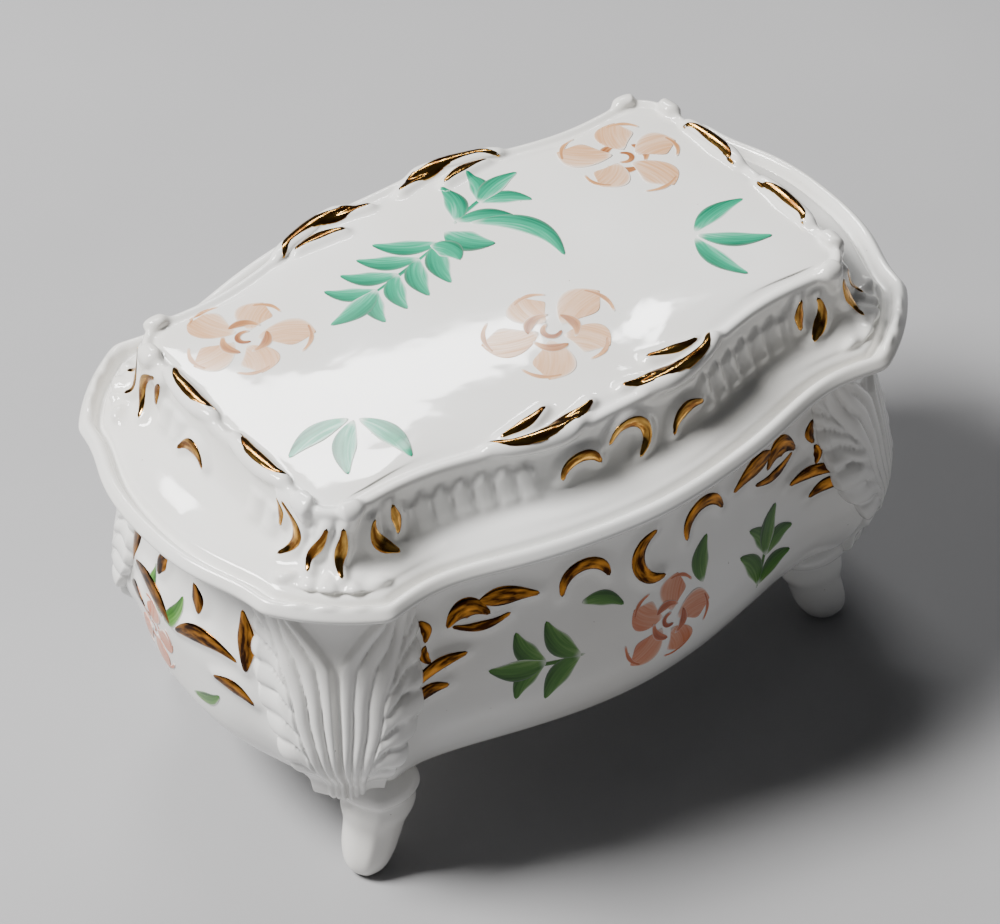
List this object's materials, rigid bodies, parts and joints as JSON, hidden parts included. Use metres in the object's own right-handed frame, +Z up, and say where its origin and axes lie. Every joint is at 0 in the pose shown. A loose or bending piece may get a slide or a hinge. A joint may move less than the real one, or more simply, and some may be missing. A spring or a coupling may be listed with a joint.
{
  "type": "porcelain trinket box",
  "caption": "Footed porcelain trinket box with a serpentine swelling body, acanthus corners and an overhanging lift-off lid with a raised panel.",
  "frame": {"origin": "centre of the box on the surface it stands on", "axes": "+X along the long side, -Y is the decorated front, +Z up"},
  "size_m": [0.1764, 0.1204, 0.101],
  "materials": {
    "body_glaze": "glossy white glaze",
    "leaf_glaze": "glossy white glaze over relief",
    "foot_glaze": "glossy white glaze",
    "lid_glaze": "glossy white glaze",
    "gilding": "bright burnished gold lustre",
    "green_enamel": "glossy painted enamel",
    "rose_enamel": "glossy painted enamel"
  },
  "bodies": {
    "box": {"box_body": "body_glaze", "corner_leaf_front_left": "leaf_glaze", "corner_leaf_front_right": "leaf_glaze", "corner_leaf_back_left": "leaf_glaze", "corner_leaf_back_right": "leaf_glaze", "foot_front_left": "foot_glaze", "foot_front_right": "foot_glaze", "foot_back_left": "foot_glaze", "foot_back_right": "foot_glaze"},
    "lid": {"lid_shell": "lid_glaze", "lid_locating_ring": "lid_glaze"}
  },
  "joints": [
    {"name": "lid_lift", "type": "slide", "parent": "box", "child": "lid", "axis": [0, 0, 1], "range_m": [0, 0.06]}
  ]
}
